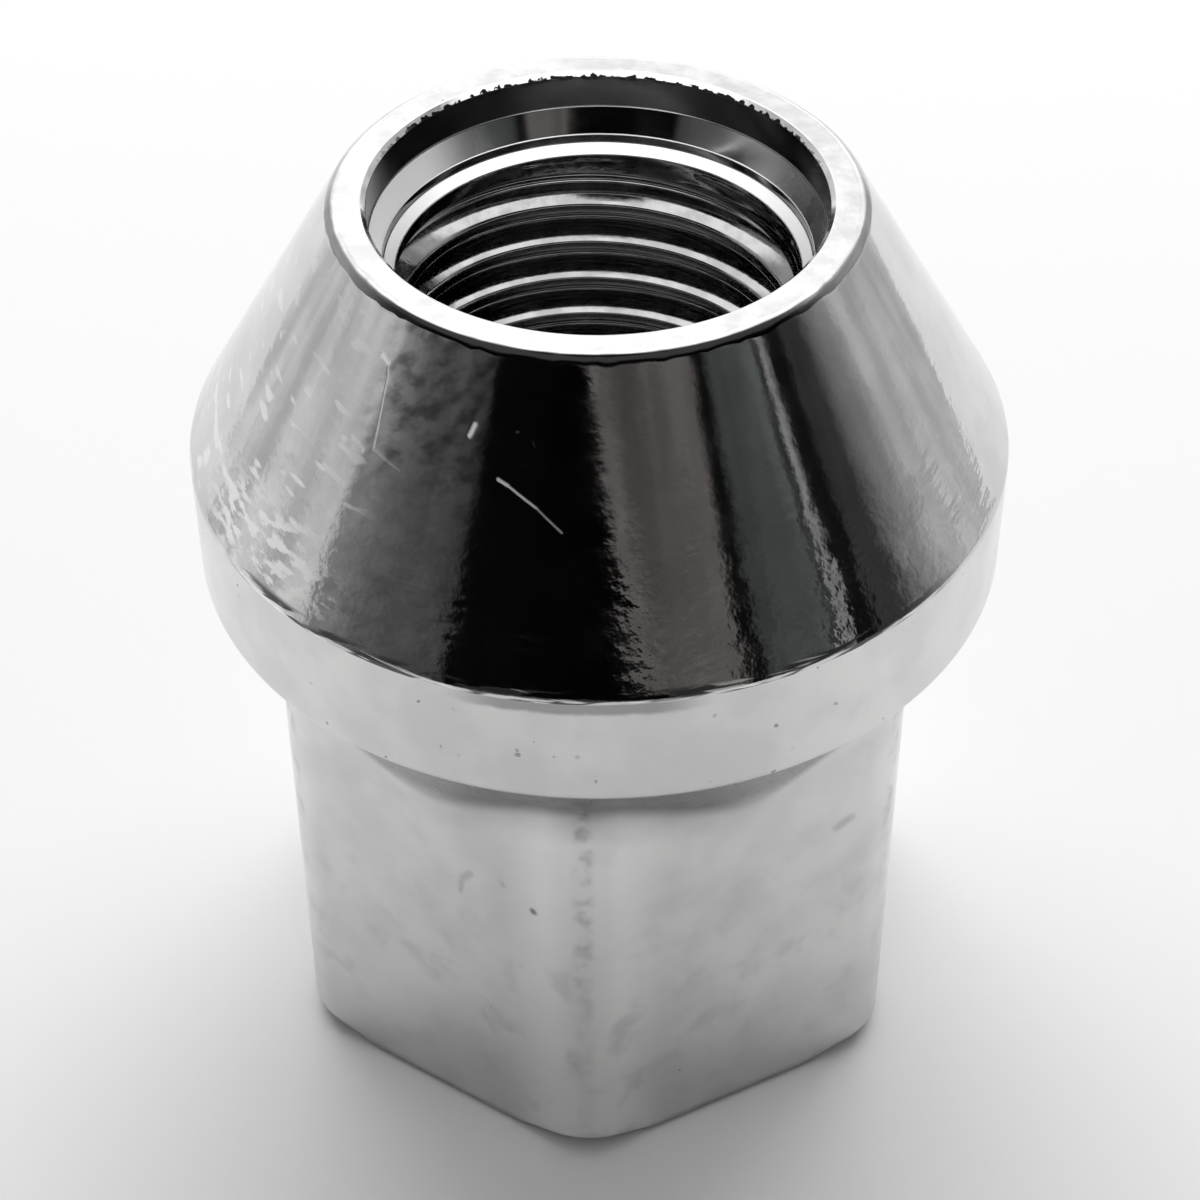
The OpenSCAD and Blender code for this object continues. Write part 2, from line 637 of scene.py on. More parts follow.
        def vertex(turn: int, column: int, row: int) -> int:
            """Find or add a vertex of the winding.

            Args:
                turn: Number of the turn, from the lowest one up.
                column: Number of the column; past the last one the next turn follows.
                row: Number of the row in the turn; past the last one the next turn follows.

            Returns:
                Number of the vertex.
            """
            turn, row = turn + row // len(shares), row % len(shares)
            turn, column = turn + column // len(columns), column % len(columns)
            key = (turn, column, row)
            if key not in made:
                round_share = (columns[column] - columns[0]) / math.tau
                height = start + thread.pitch * (turn + round_share + shares[row])
                if height <= low:
                    made[key] = floor[column]
                elif height >= high:
                    made[key] = mouth[column]
                else:
                    wall = thread.radius(shares[row], thread.fade(height))
                    lead = head.lead_radius(height)
                    gap = math.hypot(wall - lead, thread.lead_blend)
                    radius = 0.5 * (wall + lead + gap) if height > lead_z else wall
                    made[key] = skin.vertex(columns[column], radius, height)
            return made[key]

        turns = math.ceil((high - start) / thread.pitch) + 1
        for turn in range(turns):
            for column in range(len(columns)):
                for row in range(len(shares)):
                    skin.face(
                        [
                            vertex(turn, column, row),
                            vertex(turn, column, row + 1),
                            vertex(turn, column + 1, row + 1),
                            vertex(turn, column + 1, row),
                        ],
                        Zone.THREAD,
                    )
        return floor

    def build(self, finishes: dict[Zone, "PlatedFinish"]) -> bpy.types.Object:
        """Make the nut's object, dress it and hand it to the frame.

        Args:
            finishes: The finish of every zone.

        Returns:
            The nut's object.
        """
        made = self.skin().build("lug_nut_plated")
        for zone in Zone:
            made.data.materials.append(finishes[zone].material())
        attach(made, "root")
        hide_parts(NODE)
        return made


class MixSocket(IntEnum):
    """Numbers of the sockets that a mix node has for colours."""

    SHARE = 0
    RESULT = 2
    FIRST = 6
    SECOND = 7


class ShaderSketch:
    """Short ways to add nodes to one shader tree."""

    def __init__(self, tree: bpy.types.NodeTree) -> None:
        """Keep the tree that the nodes go into."""
        self.tree = tree

    def add(self, kind: str, **settings: object) -> bpy.types.Node:
        """Add a node.

        Args:
            kind: Type name of the node.
            settings: Properties to set on it.

        Returns:
            The new node.
        """
        made = self.tree.nodes.new(kind)
        for name, value in settings.items():
            setattr(made, name, value)
        return made

    def feed(self, socket: Socket, value: Feed) -> None:
        """Link an input to an output, or set it to a plain value.

        Args:
            socket: The input.
            value: The output, or the plain value.
        """
        if isinstance(value, bpy.types.NodeSocket):
            self.tree.links.new(value, socket)
        else:
            socket.default_value = value

    def math(self, operation: str, *values: Feed) -> Socket:
        """Work out one number from others.

        Args:
            operation: Name of the operation.
            values: Numbers or outputs that it takes.

        Returns:
            Output with the result.
        """
        node = self.add("ShaderNodeMath", operation=operation)
        for socket, value in zip(node.inputs, values):
            self.feed(socket, value)
        return node.outputs[0]

    def vector(self, operation: str, *values: Feed) -> bpy.types.Node:
        """Add a node that works on vectors.

        Args:
            operation: Name of the operation.
            values: Vectors or outputs that it takes.

        Returns:
            The node, with a vector and a number to choose from as its outputs.
        """
        node = self.add("ShaderNodeVectorMath", operation=operation)
        for socket, value in zip(node.inputs, values):
            self.feed(socket, value)
        return node

    def scaled(self, vector: Feed, factor: Feed) -> Socket:
        """Make a vector longer by a factor.

        Args:
            vector: The vector.
            factor: How many times longer it becomes.

        Returns:
            Output with the result.
        """
        node = self.vector("SCALE", vector)
        self.feed(node.inputs["Scale"], factor)
        return node.outputs["Vector"]

    def step(
        self, value: Feed, low: float, high: float, to_low: float = 0.0, to_high: Feed = 1.0
    ) -> Socket:
        """Carry a number smoothly from one range over to another.

        Args:
            value: The number.
            low: Where the first range starts; it may be the larger end.
            high: Where the first range ends.
            to_low: Result at and before the start.
            to_high: Result at and past the end.

        Returns:
            Output with the result.
        """
        node = self.add("ShaderNodeMapRange", interpolation_type="SMOOTHSTEP")
        names = ("Value", "From Min", "From Max", "To Min", "To Max")
        for name, given in zip(names, (value, low, high, to_low, to_high)):
            self.feed(node.inputs[name], given)
        return node.outputs[0]

    def noise(self, place: Socket, size: float, detail: float = 2.0) -> Socket:
        """Give clouds from 0 to 1.

        Args:
            place: Place of the shaded point.
            size: Size of a patch about, in units of the place.
            detail: How many finer layers the clouds have.

        Returns:
            Output with the clouds.
        """
        node = self.add("ShaderNodeTexNoise")
        for name, given in (("Vector", place), ("Scale", 1.0 / size), ("Detail", detail)):
            self.feed(node.inputs[name], given)
        return node.outputs[0]

    def mix(self, share: Feed, first: Feed, second: Feed) -> Socket:
        """Blend two colours.

        Args:
            share: How much there is of the second one, from 0 to 1.
            first: The first colour.
            second: The second colour.

        Returns:
            Output with the blend.
        """
        node = self.add("ShaderNodeMix", data_type="RGBA")
        self.feed(node.inputs[MixSocket.SHARE], share)
        self.feed(node.inputs[MixSocket.FIRST], first)
        self.feed(node.inputs[MixSocket.SECOND], second)
        return node.outputs[MixSocket.RESULT]

    def product(self, *values: Socket) -> Socket:
        """Multiply two or more numbers."""
        return functools.reduce(lambda a, b: self.math("MULTIPLY", a, b), values)

    def most(self, *values: Socket) -> Socket:
        """Give the largest of two or more numbers."""
        return functools.reduce(lambda a, b: self.math("MAXIMUM", a, b), values)

    def bump(self, height: Socket, depth: float, normal: Socket | None = None) -> Socket:
        """Raise a pattern on the surface.

        Args:
            height: Pattern from 0 to 1.
            depth: Real height of the pattern, negative for a hollow.
            normal: Output of the bump below this one.

        Returns:
            Output with the bumped normal.
        """
        node = self.add("ShaderNodeBump", invert=depth < 0)
        self.feed(node.inputs["Height"], height)
        self.feed(node.inputs["Distance"], abs(depth))
        if normal is not None:
            self.feed(node.inputs["Normal"], normal)
        return node.outputs[0]


def grey(level: float) -> Colour:
    """Give the grey of a level from 0 to 1."""
    return (level, level, level)


def rgba(colour: Colour) -> tuple[float, float, float, float]:
    """Add the full alpha to a colour."""
    return (*colour, 1.0)


class SurfacePlace:
    """Where a shaded point lies on the nut: millimetres, and radians round the axis.

    The depth is below the rim, the overhang is 1 where the surface faces down, and aside is the azimuth
    without its sign.
    """

    def __init__(self, sketch: ShaderSketch) -> None:
        """Set up the nodes that tell the place.

        Args:
            sketch: Tree that the nodes go into.
        """
        self.sketch = sketch
        source = sketch.add("ShaderNodeTexCoord").outputs
        self.mm = sketch.scaled(source["Object"], 1 / MM)
        parts = sketch.add("ShaderNodeSeparateXYZ")
        sketch.feed(parts.inputs[0], self.mm)
        self.height = parts.outputs["Z"]
        self.depth = sketch.math("SUBTRACT", RIM_Z, self.height)
        flat = sketch.vector("MULTIPLY", self.mm, (1.0, 1.0, 0.0)).outputs["Vector"]
        self.radius = sketch.vector("LENGTH", flat).outputs["Value"]
        facing = sketch.add("ShaderNodeSeparateXYZ")
        sketch.feed(facing.inputs[0], source["Normal"])
        self.overhang = sketch.math("MULTIPLY", facing.outputs["Z"], -1.0)
        front = sketch.math("MULTIPLY", parts.outputs["Y"], -1.0)
        self.azimuth = sketch.math("ARCTAN2", parts.outputs["X"], front)
        self.aside = sketch.math("ABSOLUTE", self.azimuth)

    def unrolled(self, radius: float, slope: float = 0.0) -> Socket:
        """Give the place on the surface rolled out flat.

        Args:
            radius: Mean radius of the surface, in millimetres.
            slope: Angle of the surface to the axis, in radians.

        Returns:
            Output with millimetres round the nut and up its surface.
        """
        sketch = self.sketch
        joined = sketch.add("ShaderNodeCombineXYZ")
        sketch.feed(joined.inputs["X"], sketch.math("MULTIPLY", self.azimuth, radius))
        sketch.feed(joined.inputs["Y"], sketch.math("DIVIDE", self.height, math.cos(slope)))
        return joined.outputs[0]


@dataclass(frozen=True)
class Mark:
    """Scratch or ding between two places, each an azimuth in degrees and a height in millimetres.

    The mark has its full strength over the core share of its width.
    """

    start: Point
    stop: Point
    width: float
    strength: float = 1.0
    core_share: float = 0.1

    def mask(self, sketch: ShaderSketch, sheet: Socket, radius: float, slope: float) -> Socket:
        """Draw the mark on a surface rolled out flat.

        Args:
            sketch: Tree that the nodes go into.
            sheet: Place on the unrolled surface.
            radius: Radius that it was unrolled at, in millimetres.
            slope: Angle of the surface to the axis, in radians.

        Returns:
            Output that is up to 1 along the mark and 0 off it.
        """
        first, last = (
            Vector((math.radians(azimuth) * radius, height / math.cos(slope), 0.0))
            for azimuth, height in (self.start, self.stop)
        )
        along = last - first
        off = sketch.vector("SUBTRACT", sheet, first).outputs["Vector"]
        reach = sketch.vector("DOT_PRODUCT", off, along / along.length_squared).outputs["Value"]
        held = sketch.add("ShaderNodeClamp")
        sketch.feed(held.inputs[0], reach)
        nearest = sketch.scaled(along, held.outputs[0])
        distance = sketch.vector("DISTANCE", off, nearest).outputs["Value"]
        return sketch.step(distance, self.width, self.core_share * self.width, 0.0, self.strength)


@dataclass(frozen=True)
class WearAndPaintedLight:
    """Colour and roughness laid over part of the plate, used both for real wear and for painted light and
    shade.
    """

    colour: Colour
    roughness: float


@dataclass
class Coat:
    """A finish while it is being dressed: where its nodes go, and the outputs that make it up."""

    sketch: ShaderSketch
    place: SurfacePlace
    colour: Socket
    roughness: Socket
    normal: Socket

    def add_wear_and_painted_light(self, share: Socket, overlay: WearAndPaintedLight) -> None:
        """Give a part of the surface another colour and gloss; this lays both real wear and painted light
        and shade.

        Args:
            share: 1 where the change is whole, 0 where there is none.
            overlay: Colour and roughness laid there.
        """
        sketch = self.sketch
        self.colour = sketch.mix(share, self.colour, rgba(overlay.colour))
        change = sketch.math("SUBTRACT", overlay.roughness, self.roughness)
        self.roughness = sketch.math("MULTIPLY_ADD", share, change, self.roughness)

    def emboss(self, pattern: Socket, depth: float) -> None:
        """Raise a pattern on the surface, or sink it where the depth is negative."""
        self.normal = self.sketch.bump(pattern, depth, self.normal)


@dataclass(frozen=True)
class Cloud:
    """Cloudy pattern in the metal, its size in millimetres; the edges tell which levels become patches."""

    size: float
    detail: float = 2.0
    edges: Span = (0.0, 1.0)

    def levels(self, coat: Coat) -> Socket:
        """Give the clouds themselves, from 0 to 1."""
        return coat.sketch.noise(coat.place.mm, self.size, self.detail)

    def drawn(self, coat: Coat) -> Socket:
        """Give the patches that the edges cut out of the clouds."""
        return coat.sketch.step(self.levels(coat), *self.edges)


@dataclass(frozen=True)
class Grain:
    """Clouds drawn out into dashes, in millimetres; the turn is their angle to the way round the nut."""

    length: float
    width: float
    turn: float
    detail: float = 1.0
    edges: Span = (0.0, 1.0)

    def levels(self, coat: Coat, sheet: Socket) -> Socket:
        """Give the drawn-out clouds themselves.

        Args:
            coat: Coat that they are drawn on.
            sheet: Place on the unrolled surface, in millimetres.

        Returns:
            Output with the clouds, from 0 to 1.
        """
        sketch = coat.sketch
        node = sketch.add("ShaderNodeMapping", vector_type="TEXTURE")
        sketch.feed(node.inputs["Vector"], sheet)
        sketch.feed(node.inputs["Rotation"], (0.0, 0.0, self.turn))
        sketch.feed(node.inputs["Scale"], (self.length, self.width, 1.0))
        return sketch.noise(node.outputs[0], 1.0, self.detail)

    def drawn(self, coat: Coat, sheet: Socket) -> Socket:
        """Give the dashes that the edges cut out of the clouds."""
        return coat.sketch.step(self.levels(coat, sheet), *self.edges)


@dataclass(frozen=True)
class PlatedFinish:
    """Chrome plate with clouds in its colour and gloss and fine ripples, sizes in millimetres.

    A span gives where a change starts and where it ends, then its strength at both ends.
    """

    name: str
    light: Colour = grey(0.63)
    dark: Colour = (0.56, 0.56, 0.565)
    cloud_size: float = 2.0
    cloud_detail: float = 5.0
    cloud_edges: Span = (0.35, 0.65)
    smooth: float = 0.05
    dull: float = 0.1
    gloss_share: float = 0.6
    gloss_detail: float = 4.0
    gloss_edges: Span = (0.3, 0.7)
    ripple_size: float = 0.5
    ripple_depth: float = 1.0 * MICRON

    def material(self) -> bpy.types.Material:
        """Make the finish as a node material.

        Returns:
            The new material.
        """
        made = bpy.data.materials.new(self.name)
        made.use_nodes = True
        sketch = ShaderSketch(made.node_tree)
        place = SurfacePlace(sketch)
        clouds = sketch.noise(place.mm, self.cloud_size, self.cloud_detail)
        gloss = sketch.noise(place.mm, self.gloss_share * self.cloud_size, self.gloss_detail)
        ripples = sketch.noise(place.mm, self.ripple_size)
        coat = Coat(
            sketch,
            place,
            colour=sketch.mix(sketch.step(clouds, *self.cloud_edges), rgba(self.dark), rgba(self.light)),
            roughness=sketch.step(gloss, *self.gloss_edges, self.smooth, self.dull),
            normal=sketch.bump(ripples, self.ripple_depth),
        )
        self.dress(coat)
        shader = made.node_tree.nodes["Principled BSDF"]
        shader.inputs["Metallic"].default_value = 1.0
        sketch.feed(shader.inputs["Base Color"], coat.colour)
        sketch.feed(shader.inputs["Roughness"], coat.roughness)
        sketch.feed(shader.inputs["Normal"], coat.normal)
        return made

    def dress(self, coat: Coat) -> None:
        """Add the zone's own marks to the coat; plain plate has none."""


@dataclass(frozen=True)
class PittedFinish(PlatedFinish):
    """Plate with small dark pits scattered over it; the grit that frays them is in pit radii."""

    pitted: WearAndPaintedLight = WearAndPaintedLight(grey(0.2), 0.4)
    pit_spacing: float = 1.1
    pit_r: float = 0.07
    pit_share: float = 0.35
    pit_depth: float = -12.0 * MICRON
    pit_grit: float = 1.5
    pit_grit_detail: float = 1.0
    pit_raggedness: Span = (0.3, 0.7, -0.05, 0.05)
    pit_edges: Span = (0.02, 0.08)
    pit_strength: Span = (0.0, 1.0, 0.1, 1.0)

    def dress(self, coat: Coat) -> None:
        """Scatter the pits.

        Args:
            coat: Coat that the pits are added to.
        """
        sketch, place = coat.sketch, coat.place
        cells = sketch.add("ShaderNodeTexVoronoi")
        sketch.feed(cells.inputs["Vector"], place.mm)
        sketch.feed(cells.inputs["Scale"], 1.0 / self.pit_spacing)
        chance = sketch.add("ShaderNodeSeparateColor")
        sketch.feed(chance.inputs[0], cells.outputs["Color"])
        reach = self.pit_r / self.pit_spacing
        size = sketch.step(chance.outputs["Red"], 1 - self.pit_share, 1.0, 0.0, reach)
        nearness = sketch.math("SUBTRACT", size, cells.outputs["Distance"])
        grit = sketch.noise(place.mm, self.pit_grit * self.pit_r, self.pit_grit_detail)
        ragged = sketch.math("ADD", nearness, sketch.step(grit, *self.pit_raggedness))
        strength = sketch.step(chance.outputs["Green"], *self.pit_strength)
        pits = sketch.product(sketch.step(ragged, *self.pit_edges), strength)
        coat.add_wear_and_painted_light(pits, self.pitted)
        coat.emboss(pits, self.pit_depth)


@dataclass(frozen=True)
class HexagonFinish(PittedFinish):
    """Satin plate of the hexagon and the neck, rubbed along its corners and its end.

    It has painted shade towards its foot and in the hollow under the collar, and painted light on the front
    corner.
    """

    sheet_r: float = 11.0
    # Painted shade: darker towards the foot, standing in for the shadowed floor that the flats reflect
    painted_foot_shade: WearAndPaintedLight = WearAndPaintedLight(grey(0.4), 0.22)
    painted_foot_shade_z: Span = (7.0, 2.0, 0.0, 0.3)
    # Painted light: the front corner is made lighter
    painted_corner_light: WearAndPaintedLight = WearAndPaintedLight((0.87, 0.87, 0.865), 0.2)
    painted_corner_light_reach: Span = (math.radians(16), math.radians(5), 0.0, 0.74)
    rubbed: WearAndPaintedLight = WearAndPaintedLight(grey(0.46), 0.3)
    rubbed_reach: Span = (math.radians(2.4), math.radians(0.48))
    dents: Cloud = Cloud(0.7, 3.0, (0.42, 0.7))
    dent_least: float = 0.12
    dent_z: Span = (5.0, 14.0, 0.25, 0.85)
    smeared: WearAndPaintedLight = WearAndPaintedLight(grey(0.5), 0.26)
    smears: Cloud = Cloud(1.5, 6.0, (0.5, 0.72, 0.0, 0.6))
    smeared_z: Span = (13.0, 5.0, 0.3, 1.0)
    # Painted shade: darker where the surface faces down, in the hollow under the collar
    painted_shade: WearAndPaintedLight = WearAndPaintedLight(grey(0.2), 0.3)
    painted_shade_slope: Span = (0.2, 0.41, 0.0, 0.7)
    scratched: WearAndPaintedLight = WearAndPaintedLight(grey(0.24), 0.4)
    end_z: Span = (0.5, 0.1, 0.0, 0.6)
    marks: tuple[Mark, ...] = (
        Mark((-8.7, 11.95), (-8.6, 11.9), 0.2),
        Mark((-23.9, 11.2), (-23.2, 11.9), 0.2, 0.3),
        Mark((-23.2, 11.9), (-21.5, 12.3), 0.26, 0.36),
        Mark((-14.8, 12.6), (-14.4, 12.5), 0.2, 0.25),
        Mark((49.3, 12.4), (51.4, 12.6), 0.34, 0.36),
    )

    def dress(self, coat: Coat) -> None:
        """Add pits, painted shade towards the foot, painted light on the front corner, the worn corners,
        smears, painted shade in the hollow under the collar, the scratched end and single marks.

        Args:
            coat: Coat that the wear and the painted light and shade are added to.
        """
        super().dress(coat)
        sketch, place = coat.sketch, coat.place
        # Painted shade towards the foot
        coat.add_wear_and_painted_light(sketch.step(place.height, *self.painted_foot_shade_z), self.painted_foot_shade)
        # Painted light on the front corner
        coat.add_wear_and_painted_light(sketch.step(place.aside, *self.painted_corner_light_reach), self.painted_corner_light)
        sixth = sketch.math("PINGPONG", place.azimuth, HALF_SECTOR)
        corner = sketch.step(sixth, *self.rubbed_reach)
        strength = sketch.step(place.height, *self.dent_z)
        dents = sketch.step(self.dents.levels(coat), *self.dents.edges, self.dent_least, strength)
        coat.add_wear_and_painted_light(sketch.product(corner, dents), self.rubbed)
        lower = sketch.step(place.height, *self.smeared_z)
        coat.add_wear_and_painted_light(sketch.product(self.smears.drawn(coat), lower), self.smeared)
        # Painted shade in the hollow under the collar
        coat.add_wear_and_painted_light(sketch.step(place.overhang, *self.painted_shade_slope), self.painted_shade)
        coat.add_wear_and_painted_light(sketch.step(place.height, *self.end_z), self.scratched)
        sheet = place.unrolled(self.sheet_r)
        masks = [mark.mask(sketch, sheet, self.sheet_r, 0.0) for mark in self.marks]
        coat.add_wear_and_painted_light(sketch.most(*masks), self.scratched)


@dataclass(frozen=True)
class CollarFinish(PittedFinish):
    """Satin plate of the collar's band: pitted, and rubbed grey below its upper edge at the front."""

    rubbed: WearAndPaintedLight = WearAndPaintedLight(grey(0.26), 0.3)
    rubbed_reach: Span = (math.radians(19), math.radians(9))
    rubbed_z: Span = (23.4, 23.6, 0.0, 0.75)
    ragged: Cloud = Cloud(0.6)
    ragged_h: float = 0.25

    def dress(self, coat: Coat) -> None:
        """Add pits and the rubbed edge.

        Args:
            coat: Coat that the wear is added to.
        """
        super().dress(coat)
        sketch, place = coat.sketch, coat.place
        front = sketch.step(place.aside, *self.rubbed_reach)
        height = sketch.math("MULTIPLY_ADD", self.ragged.levels(coat), self.ragged_h, place.height)
        upper = sketch.step(height, *self.rubbed_z)
        coat.add_wear_and_painted_light(sketch.product(front, upper), self.rubbed)


BARED: Colour = (0.93, 0.93, 0.92)
SOOTY: Colour = grey(0.12)


@dataclass(frozen=True)
class SeatFinish(PlatedFinish):
    """Bright plate of the seat cone: rippled, scratched and scuffed towards its foot."""

    slope: float = math.radians(30)
    sheet_r: float = 11.0
    uneven_z: Span = (29.5, 24.6)
    waves: Cloud = Cloud(2.6)
    wave_depth: float = 12.0 * MICRON
    teeth: Cloud = Cloud(0.36)
    tooth_least: float = 0.25
    tooth_depth: float = 9.0 * MICRON
    streaks: Grain = Grain(1.8, 0.34, turn=0.15)
    streak_patches: Cloud = Cloud(3.0, 1.0, (0.5, 0.7))
    streak_depth: float = 30.0 * MICRON
    dashed: WearAndPaintedLight = WearAndPaintedLight(BARED, 0.45)
    dashes: Grain = Grain(1.5, 0.5, math.radians(-3), edges=(0.6, 0.68))
    dashed_reach: Span = (math.radians(-30), math.radians(-42), 0.03, 0.75)
    dashed_z: Span = (31.0, 27.5, 0.3, 1.0)
    smudged: WearAndPaintedLight = WearAndPaintedLight(SOOTY, 0.16)
    smudges: Grain = Grain(0.9, 0.54, turn=0.5, detail=4.0, edges=(0.38, 0.7, 0.0, 0.78))
    smudged_left: Span = (math.radians(-44), math.radians(-36))
    smudged_right: Span = (math.radians(-15), math.radians(-19))
    smudged_z: Span = (28.0, 29.6, 0.3, 1.0)
    scuff_place: Point = (math.radians(-51), 25.0)
    scuff_reach: Point = (math.radians(17), 1.35)
    scuff_edges: Span = (1.25, 0.5)
    flaked: WearAndPaintedLight = WearAndPaintedLight(BARED, 0.5)
    flakes: Grain = Grain(0.75, 0.36, turn=-0.1, detail=3.0, edges=(0.47, 0.58))
    chipped: WearAndPaintedLight = WearAndPaintedLight(SOOTY, 0.35)
    chips: Grain = Grain(1.6, 0.25, turn=0.1, detail=2.0, edges=(0.44, 0.56))
    chipped_z: Span = (24.22, 24.06)
    chipped_reach: Span = (math.radians(60), math.radians(45))
    splintered: WearAndPaintedLight = WearAndPaintedLight(BARED, 0.4)
    slivers: Grain = Grain(2.2, 0.2, turn=-0.1, detail=2.0, edges=(0.58, 0.63))
    scratched: WearAndPaintedLight = WearAndPaintedLight(BARED, 0.55)
    scratch_depth: float = -6.0 * MICRON
    scratches: tuple[Mark, ...] = (
        Mark((-13.7, 29.47), (-11.9, 29.35), 0.11, 0.9),
        Mark((-11.9, 29.35), (-7.0, 28.88), 0.08, 0.8),
        Mark((-7.0, 28.88), (-2.8, 28.3), 0.07, 0.6),
        Mark((-19.8, 30.42), (-19.2, 30.72), 0.18),
        Mark((-41.6, 31.5), (-39.6, 31.4), 0.15),
        Mark((-39.6, 31.4), (-38.8, 31.1), 0.08, 0.5),
        Mark((-38.8, 31.1), (-37.5, 29.8), 0.06, 0.35),
        Mark((-37.5, 29.8), (-37.0, 29.16), 0.08, 0.4),
        Mark((-37.0, 29.16), (-31.2, 28.95), 0.08, 0.35),
        Mark((-11.6, 30.74), (-11.2, 30.76), 0.08, 0.35),
        Mark((-8.6, 30.56), (-8.1, 30.45), 0.07, 0.3),
        Mark((-45.2, 28.06), (-40.6, 27.89), 0.15, 0.5),
        Mark((-41.8, 29.15), (-39.0, 29.0), 0.13, 0.5),
    )

    def dress(self, coat: Coat) -> None:
        """Make the gloss uneven, then add dashes, smudges, scuffs and scratches.

        Args:
            coat: Coat that the wear is added to.
        """
        sketch, place = coat.sketch, coat.place
        sheet = place.unrolled(self.sheet_r, self.slope)
        self._ruffle(coat, sheet)
        dashes = sketch.product(
            self.dashes.drawn(coat, sheet),
            sketch.step(place.azimuth, *self.dashed_reach),
            sketch.step(place.height, *self.dashed_z),
        )
        coat.add_wear_and_painted_light(dashes, self.dashed)
        smudges = sketch.product(
            self.smudges.drawn(coat, sheet),
            sketch.step(place.azimuth, *self.smudged_left),
            sketch.step(place.azimuth, *self.smudged_right),
            sketch.step(place.height, *self.smudged_z),
        )
        coat.add_wear_and_painted_light(smudges, self.smudged)
        self._scuff(coat, sheet)
        masks = [mark.mask(sketch, sheet, self.sheet_r, self.slope) for mark in self.scratches]
        scratches = sketch.most(*masks)
        coat.add_wear_and_painted_light(scratches, self.scratched)
        coat.emboss(scratches, self.scratch_depth)

    def _ruffle(self, coat: Coat, sheet: Socket) -> None:
        """Emboss the cone with waves, teeth and streaks, the last two most of all near its foot.

        Args:
            coat: Coat that is embossed.
            sheet: The place on the unrolled surface.
        """
        sketch = coat.sketch
        low = sketch.step(coat.place.height, *self.uneven_z)
        coat.emboss(self.waves.levels(coat), self.wave_depth)
        strength = sketch.math("MULTIPLY_ADD", low, 1 - self.tooth_least, self.tooth_least)
        coat.emboss(sketch.product(self.teeth.levels(coat), strength), self.tooth_depth)
        patches = self.streak_patches.drawn(coat)
        streaks = sketch.product(self.streaks.levels(coat, sheet), low, patches)
        coat.emboss(streaks, self.streak_depth)

    def _scuff(self, coat: Coat, sheet: Socket) -> None:
        """Scuff the cone's lower edge, brightest at one place.

        Args:
            coat: Coat that the scuffs are added to.
            sheet: The place on the unrolled surface.
        """
        sketch, place = coat.sketch, coat.place
        squares = []
        for way, middle, reach in zip((place.azimuth, place.height), self.scuff_place, self.scuff_reach):
            off = sketch.math("DIVIDE", sketch.math("SUBTRACT", way, middle), reach)
            squares.append(sketch.product(off, off))
        away = sketch.math("SQRT", sketch.math("ADD", *squares))
        near = sketch.step(away, *self.scuff_edges)
        coat.add_wear_and_painted_light(sketch.product(near, self.flakes.drawn(coat, sheet)), self.flaked)
        edge = sketch.product(
            sketch.step(place.height, *self.chipped_z), sketch.step(place.aside, *self.chipped_reach)
        )
        for grain, overlay in ((self.chips, self.chipped), (self.slivers, self.splintered)):
            coat.add_wear_and_painted_light(sketch.product(edge, grain.drawn(coat, sheet)), overlay)


@dataclass(frozen=True)
class RimFinish(PlatedFinish):
    """Bright plate of the rim, with a painted dark reflection along its rounded outer edge and a ragged band
    of painted shade along its inner edge at the back.
    """

    # Painted reflection: near black on the tilted outer edge, most of all at the front
    edge: WearAndPaintedLight = WearAndPaintedLight(grey(0.01), 0.2)
    edge_r: float = 7.8
    edge_slope: Span = (-0.98, -0.9)
    edge_reach: Span = (math.radians(40), math.radians(66), 0.985, 0.45)
    # Painted shade: a ragged near-black band along the inner edge at the back
    ragged_shade: WearAndPaintedLight = WearAndPaintedLight(grey(0.01), 0.3)
    ragged_shade_r: float = 7.6
    ragged_shade_depth: Span = (0.0, 0.16, -0.2, 0.06)
    ragged_shade_reach: Span = (math.radians(95), math.radians(125))
    shade_ragging: Cloud = Cloud(0.3, 3.0, (0.5, 0.56))

    def dress(self, coat: Coat) -> None:
        """Paint a dark reflection on the outer edge, most of all at the front, and a ragged band of shade
        along the inner one at the back.

        Args:
            coat: Coat that the painted reflection and shade are added to.
        """
        sketch, place = coat.sketch, coat.place
        # Painted dark reflection on the outer edge
        outer = sketch.math("GREATER_THAN", place.radius, self.edge_r)
        slope = sketch.step(place.overhang, *self.edge_slope)
        share = sketch.step(place.aside, *self.edge_reach)
        coat.add_wear_and_painted_light(sketch.product(slope, share, outer), self.edge)
        # Painted shade along the ragged inner edge
        inner = sketch.math("LESS_THAN", place.radius, self.ragged_shade_r)
        ragged = sketch.math("ADD", self.shade_ragging.levels(coat), sketch.step(place.depth, *self.ragged_shade_depth))
        ragged_shade = sketch.step(ragged, *self.shade_ragging.edges)
        back = sketch.step(place.aside, *self.ragged_shade_reach)
        coat.add_wear_and_painted_light(sketch.product(ragged_shade, inner, back), self.ragged_shade)


